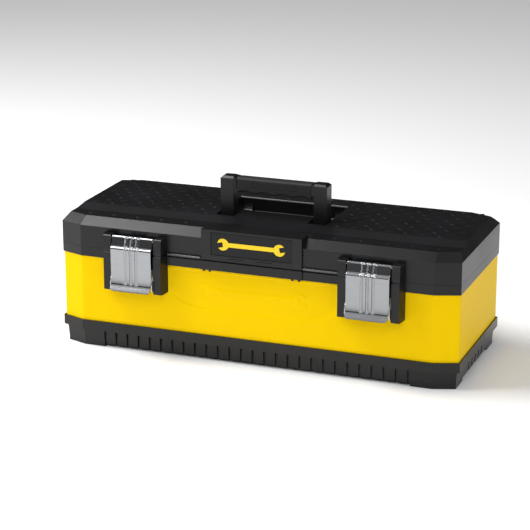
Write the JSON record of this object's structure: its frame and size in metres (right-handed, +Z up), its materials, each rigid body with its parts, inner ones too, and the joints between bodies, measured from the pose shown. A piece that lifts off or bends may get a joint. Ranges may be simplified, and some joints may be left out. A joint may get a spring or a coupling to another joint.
{
  "type": "toolbox with tray",
  "caption": "Wide toolbox: yellow steel wall between a black moulded base and a hinged lid with fold-down handle, two steel snap latches and a lift-out tray.",
  "frame": {"origin": "centre of the footprint on the surface the box stands on", "axes": "+X along the box to the right as seen from the front, -Y towards the front with the latches, +Z up"},
  "size_m": [0.665, 0.3089, 0.279],
  "materials": {
    "black_plastic": "moulded black polypropylene, fine spark texture",
    "plate_plastic": "smooth moulded black plastic",
    "yellow_steel": "powder-coated yellow sheet steel",
    "zinc_steel": "bright zinc-plated steel",
    "grip_rubber": "soft matt grip",
    "tray_plastic": "moulded black polypropylene"
  },
  "bodies": {
    "box": {"base_pan": "black_plastic", "steel_wall": "yellow_steel", "rim_collar": "black_plastic", "keeper_bracket_left": "zinc_steel", "keeper_bracket_right": "zinc_steel", "keeper_bar_left": "zinc_steel", "keeper_bar_right": "zinc_steel", "keeper_rivet_left_1": "zinc_steel", "keeper_rivet_left_2": "zinc_steel", "keeper_rivet_right_1": "zinc_steel", "keeper_rivet_right_2": "zinc_steel", "hinge_pin_left": "zinc_steel", "hinge_pin_right": "zinc_steel", "seam_rivet_1": "zinc_steel", "seam_rivet_2": "zinc_steel", "seam_rivet_3": "zinc_steel", "seam_rivet_4": "zinc_steel"},
    "lid": {"lid_shell": "black_plastic", "name_plate": "plate_plastic", "handle_pin_left": "zinc_steel", "handle_pin_right": "zinc_steel", "latch_pin_left": "zinc_steel", "latch_pin_right": "zinc_steel"},
    "handle": {"handle_frame": "black_plastic", "handle_grip": "grip_rubber"},
    "latch_left": {"latch_lever_left": "zinc_steel", "latch_spring_left": "zinc_steel"},
    "latch_right": {"latch_lever_right": "zinc_steel", "latch_spring_right": "zinc_steel"},
    "tray": {"tray_body": "tray_plastic"}
  },
  "joints": [
    {"name": "lid_hinge", "type": "hinge", "parent": "box", "child": "lid", "pos_m": [0, 0.1475, 0.16], "axis": [-1, 0, 0], "range_deg": [0, 100]},
    {"name": "handle_fold", "type": "hinge", "parent": "lid", "child": "handle", "pos_m": [0, -0.0235, 0.2075], "axis": [-1, 0, 0], "range_deg": [0, 90]},
    {"name": "latch_left_lift", "type": "hinge", "parent": "lid", "child": "latch_left", "pos_m": [-0.195, -0.1428, 0.192], "axis": [-1, 0, 0], "range_deg": [0, 120]},
    {"name": "latch_right_lift", "type": "hinge", "parent": "lid", "child": "latch_right", "pos_m": [0.195, -0.1428, 0.192], "axis": [-1, 0, 0], "range_deg": [0, 120]},
    {"name": "tray_lift", "type": "slide", "parent": "box", "child": "tray", "axis": [0, 0, 1], "range_m": [0, 0.013]}
  ]
}
